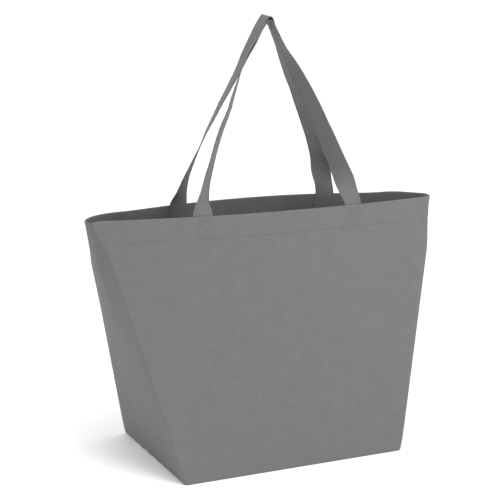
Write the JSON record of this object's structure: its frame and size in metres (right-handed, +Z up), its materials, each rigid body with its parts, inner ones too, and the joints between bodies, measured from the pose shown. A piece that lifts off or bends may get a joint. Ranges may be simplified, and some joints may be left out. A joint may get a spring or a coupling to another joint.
{
  "type": "tote bag",
  "caption": "Open-top shopper tote of thin non-woven cloth with a boxed base, creased corners, a turned hem and sewn strap handles that swing over the mouth.",
  "frame": {"origin": "centre of the base, on the surface the bag stands on", "axes": "+X along the wide panels to the right side seam, -Y out of the front panel, +Z up"},
  "size_m": [0.4832, 0.203, 0.5558],
  "materials": {
    "bag_cloth": "matte non-woven polypropylene with a fine embossed pattern",
    "strap_cloth": "matte non-woven polypropylene, folded and edge-stitched",
    "thread": "matte sewing thread"
  },
  "bodies": {
    "bag": {"base_panel": "bag_cloth", "front_panel": "bag_cloth", "front_hem": "bag_cloth", "front_hem_stitching": "thread", "back_panel": "bag_cloth", "back_hem": "bag_cloth", "back_hem_stitching": "thread", "left_gusset_front_half": "bag_cloth", "left_gusset_back_half": "bag_cloth", "left_side_seam": "bag_cloth", "left_side_seam_stitching": "thread", "left_corner_seam": "bag_cloth", "left_corner_seam_stitching": "thread", "right_gusset_front_half": "bag_cloth", "right_gusset_back_half": "bag_cloth", "right_side_seam": "bag_cloth", "right_side_seam_stitching": "thread", "right_corner_seam": "bag_cloth", "right_corner_seam_stitching": "thread", "front_left_strap_end": "strap_cloth", "front_left_box_stitching": "thread", "front_right_strap_end": "strap_cloth", "front_right_box_stitching": "thread", "back_left_strap_end": "strap_cloth", "back_left_box_stitching": "thread", "back_right_strap_end": "strap_cloth", "back_right_box_stitching": "thread"},
    "front_handle": {"front_handle": "strap_cloth", "front_handle_inner_stitching": "thread", "front_handle_outer_stitching": "thread"},
    "back_handle": {"back_handle": "strap_cloth", "back_handle_inner_stitching": "thread", "back_handle_outer_stitching": "thread"}
  },
  "joints": [
    {"name": "front_handle_swing", "type": "hinge", "parent": "bag", "child": "front_handle", "pos_m": [0, -0.04597, 0.32197], "axis": [1, 0, 0], "range_deg": [0, 170]},
    {"name": "back_handle_swing", "type": "hinge", "parent": "bag", "child": "back_handle", "pos_m": [0, 0.04597, 0.32197], "axis": [-1, 0, 0], "range_deg": [0, 170]}
  ]
}
